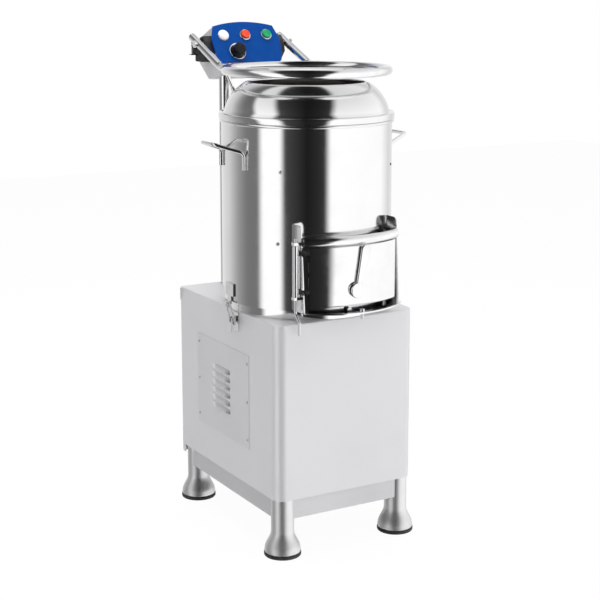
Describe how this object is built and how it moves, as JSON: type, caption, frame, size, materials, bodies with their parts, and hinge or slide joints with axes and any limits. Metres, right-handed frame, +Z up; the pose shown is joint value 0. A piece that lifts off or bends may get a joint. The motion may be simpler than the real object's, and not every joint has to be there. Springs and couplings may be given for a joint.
{
  "type": "electric potato peeler",
  "caption": "Floor-standing abrasive potato peeler: steel drum with hinged open-mouthed lid, front discharge door with cam lever, side toggle latches and sloping control panel.",
  "frame": {"origin": "centre of the overall bounding box's footprint, on the floor", "axes": "+Z up; -Y towards the user, the side with the discharge door; +X to the user's right"},
  "size_m": [0.4982, 0.638, 1.1442],
  "materials": {
    "cabinet_sheet": "satin rolled sheet",
    "drum_steel": "vertical brushed",
    "bright_steel": "polished",
    "leg_tube": "polished tube",
    "black_rubber": "matt",
    "abrasive": "coarse grit",
    "machined_steel": "machined",
    "cast_housing": "painted casting",
    "motor_paint": "satin paint",
    "black_plastic": "fine grain",
    "panel_foil": "printed foil",
    "white_cap": "gloss",
    "red_cap": "gloss",
    "green_cap": "gloss"
  },
  "bodies": {
    "machine": {"cabinet_shell": "cabinet_sheet", "top_deck": "cabinet_sheet", "skirt_panels": "cabinet_sheet", "rear_panel": "cabinet_sheet", "access_cover": "cabinet_sheet", "cover_screws": "bright_steel", "leg_front_left": "leg_tube", "leg_front_right": "leg_tube", "leg_rear_left": "leg_tube", "leg_rear_right": "leg_tube", "foot_pads": "black_rubber", "neck_ring": "cabinet_sheet", "drum_shell": "drum_steel", "drum_floor": "drum_steel", "abrasive_liner": "abrasive", "drum_bolts": "bright_steel", "drum_handles": "bright_steel", "chute_frame": "drum_steel", "chute_bar": "drum_steel", "chute_stud": "machined_steel", "hinge_rod": "bright_steel", "bearing_housing": "cast_housing", "shaft_bearings": "machined_steel", "shaft_seal": "black_rubber", "motor_body": "motor_paint", "terminal_box": "black_plastic", "motor_bracket": "machined_steel", "drive_belt": "black_rubber", "drain_pipe": "drum_steel", "cable_gland": "black_plastic", "latch_keepers": "bright_steel", "latch_bases": "bright_steel", "control_housing": "cabinet_sheet", "control_panel": "panel_foil", "housing_posts": "leg_tube", "hinge_blocks": "black_plastic", "hinge_pins": "bright_steel", "switch_units": "black_plastic", "lamp_lens": "white_cap"},
    "disc": {"abrasive_disc": "abrasive", "drive_shaft": "machined_steel", "disc_nut": "machined_steel", "driven_pulley": "cast_housing"},
    "rotor": {"motor_shaft": "machined_steel", "motor_pulley": "cast_housing"},
    "lid": {"lid_dome": "drum_steel", "lid_hoop": "bright_steel", "lid_struts": "bright_steel"},
    "door": {"door_plate": "drum_steel", "door_hinge": "bright_steel", "door_seal": "black_rubber"},
    "door_lever": {"lever_handle": "bright_steel", "lever_cam": "machined_steel"},
    "left_latch": {"latch_lever_left": "bright_steel"},
    "right_latch": {"latch_lever_right": "bright_steel"},
    "left_bail": {"latch_bail_left": "bright_steel"},
    "right_bail": {"latch_bail_right": "bright_steel"},
    "stop": {"stop_button": "red_cap"},
    "start": {"start_button": "green_cap"},
    "timer": {"timer_knob": "black_plastic"}
  },
  "joints": [
    {"name": "disc_spin", "type": "hinge", "parent": "machine", "child": "disc", "pos_m": [0, -0.064, 0.57], "axis": [0, 0, 1], "continuous": true},
    {"name": "motor_spin", "type": "hinge", "parent": "machine", "child": "rotor", "pos_m": [0, 0.126, 0.44], "axis": [0, 0, 1], "continuous": true},
    {"name": "lid_hinge", "type": "hinge", "parent": "machine", "child": "lid", "pos_m": [0, 0.236, 1.09397], "axis": [-1, 0, 0], "range_deg": [0, 70]},
    {"name": "door_swing", "type": "hinge", "parent": "machine", "child": "door", "pos_m": [-0.1295, -0.24, 0.63], "axis": [0, 0, -1], "range_deg": [0, 100]},
    {"name": "door_lever", "type": "hinge", "parent": "door", "child": "door_lever", "pos_m": [-0.008, -0.289, 0.592], "axis": [0, 1, 0], "range_deg": [0, 90]},
    {"name": "left_latch_lever", "type": "hinge", "parent": "machine", "child": "left_latch", "pos_m": [-0.186, -0.058, 0.502], "axis": [0, 1, 0], "range_deg": [0, 150]},
    {"name": "right_latch_lever", "type": "hinge", "parent": "machine", "child": "right_latch", "pos_m": [0.186, -0.058, 0.502], "axis": [0, -1, 0], "range_deg": [0, 150]},
    {"name": "left_latch_bail", "type": "hinge", "parent": "left_latch", "child": "left_bail", "pos_m": [-0.186, -0.058, 0.493], "axis": [0, 1, 0], "range_deg": [-150, 0]},
    {"name": "right_latch_bail", "type": "hinge", "parent": "right_latch", "child": "right_bail", "pos_m": [0.186, -0.058, 0.493], "axis": [0, -1, 0], "range_deg": [-150, 0]},
    {"name": "stop_press", "type": "slide", "parent": "machine", "child": "stop", "axis": [0, 0.8771, -0.4803], "range_m": [0, 0.003], "stiffness_N_per_m": 800},
    {"name": "start_press", "type": "slide", "parent": "machine", "child": "start", "axis": [0, 0.8771, -0.4803], "range_m": [0, 0.003], "stiffness_N_per_m": 800},
    {"name": "timer_turn", "type": "hinge", "parent": "machine", "child": "timer", "pos_m": [-0.03, 0.20774, 1.07664], "axis": [0, 0.8771, -0.4803], "range_deg": [0, 300]}
  ],
  "couplings": [
    {"joint": "motor_spin", "follows": "disc_spin", "ratio": 4},
    {"joint": "left_latch_bail", "follows": "left_latch_lever", "ratio": -1},
    {"joint": "right_latch_bail", "follows": "right_latch_lever", "ratio": -1}
  ]
}
